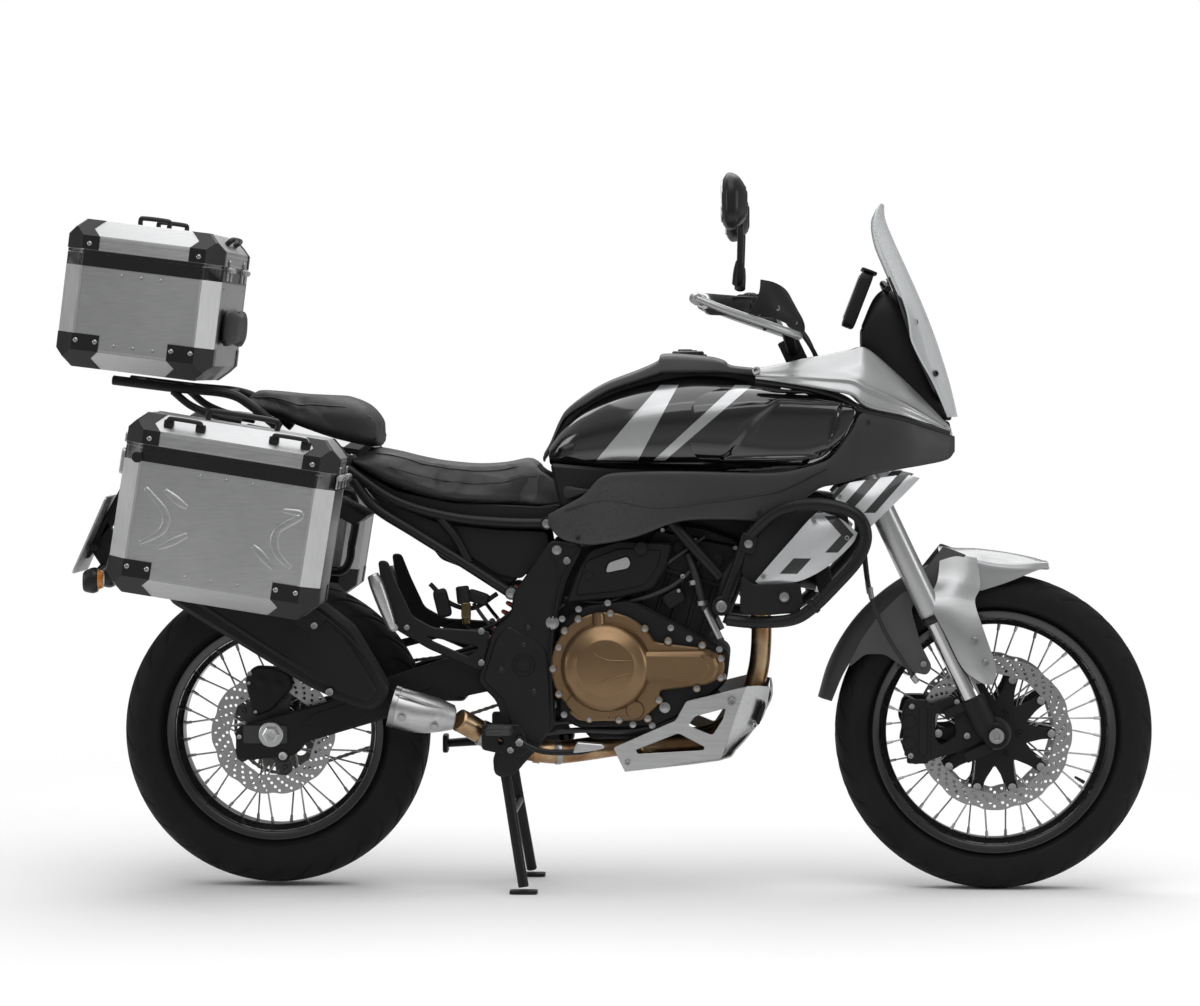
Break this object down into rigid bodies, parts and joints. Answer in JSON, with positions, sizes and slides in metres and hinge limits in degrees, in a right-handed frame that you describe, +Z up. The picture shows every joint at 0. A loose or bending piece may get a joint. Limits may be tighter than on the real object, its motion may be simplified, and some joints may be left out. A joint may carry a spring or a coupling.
{
  "type": "adventure motorcycle",
  "caption": "Adventure touring motorcycle on its centre stand, with spoked wheels, tall screen, crash bars and aluminium top case and panniers whose lids open.",
  "frame": {"origin": "on the ground, under the middle of the machine's box", "axes": "+X forward, +Y to the rider's left, +Z up"},
  "size_m": [2.262, 0.96, 1.4755],
  "materials": {
    "frame_paint": "satin powder coat",
    "engine_black": "matte cast, painted black",
    "engine_bronze": "satin bronze-brown paint over cast covers",
    "tank_gloss": "gloss black paint",
    "silver_paint": "metallic silver paint",
    "black_plastic": "fine-grained moulded plastic",
    "shroud_print": "gloss with painted stripes",
    "case_aluminium": "brushed and anodised",
    "bare_aluminium": "brushed",
    "chrome_tube": "polished",
    "steel_bolts": "machined",
    "disc_steel": "ground ring with drilled holes",
    "exhaust_steel": "heat-tinted",
    "tyre_rubber": "moulded rubber",
    "wheel_black": "gloss black rim, bright spokes",
    "seat_cover": "grained seat cover",
    "screen_clear": "clear moulded screen",
    "lens_clear": "clear lens",
    "lens_red": "red lens",
    "display_glass": "gloss screen in a matte bezel",
    "hose_rubber": "smooth hose",
    "chain_steel": "oiled steel",
    "skid_metal": "satin pressed sheet"
  },
  "bodies": {
    "root": {"main_frame": "frame_paint", "subframe": "frame_paint", "swingarm": "frame_paint", "rear_axle": "steel_bolts", "rear_shock": "frame_paint", "engine_block": "engine_black", "clutch_cover": "engine_bronze", "left_engine_covers": "engine_bronze", "exhaust_pipes": "exhaust_steel", "exhaust_heat_shield": "bare_aluminium", "silencer": "engine_black", "radiator": "engine_black", "skid_plate": "skid_metal", "crash_bars": "frame_paint", "fuel_tank": "tank_gloss", "tank_side_wings": "tank_gloss", "tank_top_cover": "black_plastic", "side_panels": "black_plastic", "front_side_cowls": "silver_paint", "nose_cowl": "black_plastic", "headlight": "lens_clear", "windscreen": "screen_clear", "instrument_display": "display_glass", "radiator_shrouds": "shroud_print", "rider_seat": "seat_cover", "pillion_seat": "seat_cover", "luggage_rack": "frame_paint", "pannier_racks": "frame_paint", "top_case": "case_aluminium", "right_pannier": "case_aluminium", "left_pannier": "case_aluminium", "tail_plate_holder": "black_plastic", "tail_lamp": "lens_red", "indicators": "black_plastic", "footrests": "bare_aluminium", "foot_levers": "bare_aluminium", "drive_chain": "chain_steel", "rear_brake_caliper": "engine_black"},
    "steering": {"front_axle": "steel_bolts", "fork_yokes": "frame_paint", "fork_legs": "chrome_tube", "front_mudguard": "silver_paint", "front_brake_calipers": "engine_black", "brake_hoses": "hose_rubber", "handlebar": "frame_paint", "hand_guards": "bare_aluminium", "mirrors": "black_plastic"},
    "front_wheel_body": {"front_tyre": "tyre_rubber", "front_wheel": "wheel_black", "front_discs": "disc_steel"},
    "rear_wheel_body": {"rear_tyre": "tyre_rubber", "rear_wheel": "wheel_black", "rear_disc": "disc_steel"},
    "top_case_lid_body": {"top_case_lid": "case_aluminium"},
    "right_pannier_lid_body": {"right_pannier_lid": "case_aluminium"},
    "left_pannier_lid_body": {"left_pannier_lid": "case_aluminium"},
    "centre_stand_body": {"centre_stand": "frame_paint"},
    "side_stand_body": {"side_stand": "frame_paint"}
  },
  "joints": [
    {"name": "steering_turn", "type": "hinge", "parent": "root", "child": "steering", "pos_m": [0.91191, 0, 0], "axis": [-0.4305, 0, 0.9026], "range_deg": [-36, 36]},
    {"name": "front_wheel_spin", "type": "hinge", "parent": "steering", "child": "front_wheel_body", "pos_m": [0.80104, 0, 0.33], "axis": [0, 1, 0], "continuous": true},
    {"name": "rear_wheel_spin", "type": "hinge", "parent": "root", "child": "rear_wheel_body", "pos_m": [-0.69896, 0, 0.327], "axis": [0, 1, 0], "continuous": true},
    {"name": "centre_stand_fold", "type": "hinge", "parent": "root", "child": "centre_stand_body", "pos_m": [-0.21499, 0, 0.262], "axis": [0, 1, 0], "range_deg": [0, 85]},
    {"name": "side_stand_swing", "type": "hinge", "parent": "root", "child": "side_stand_body", "pos_m": [-0.09899, 0.176, 0.3], "axis": [0, -1, 0], "range_deg": [0, 95]},
    {"name": "top_case_lid_open", "type": "hinge", "parent": "root", "child": "top_case_lid_body", "pos_m": [-0.78024, 0, 1.28753], "axis": [0, 1, 0], "range_deg": [0, 100]},
    {"name": "right_pannier_lid_open", "type": "hinge", "parent": "root", "child": "right_pannier_lid_body", "pos_m": [-0.51869, -0.364, 0.86774], "axis": [0, 1, 0], "range_deg": [0, 100]},
    {"name": "left_pannier_lid_open", "type": "hinge", "parent": "root", "child": "left_pannier_lid_body", "pos_m": [-0.51869, 0.364, 0.86774], "axis": [0, 1, 0], "range_deg": [0, 100]}
  ]
}
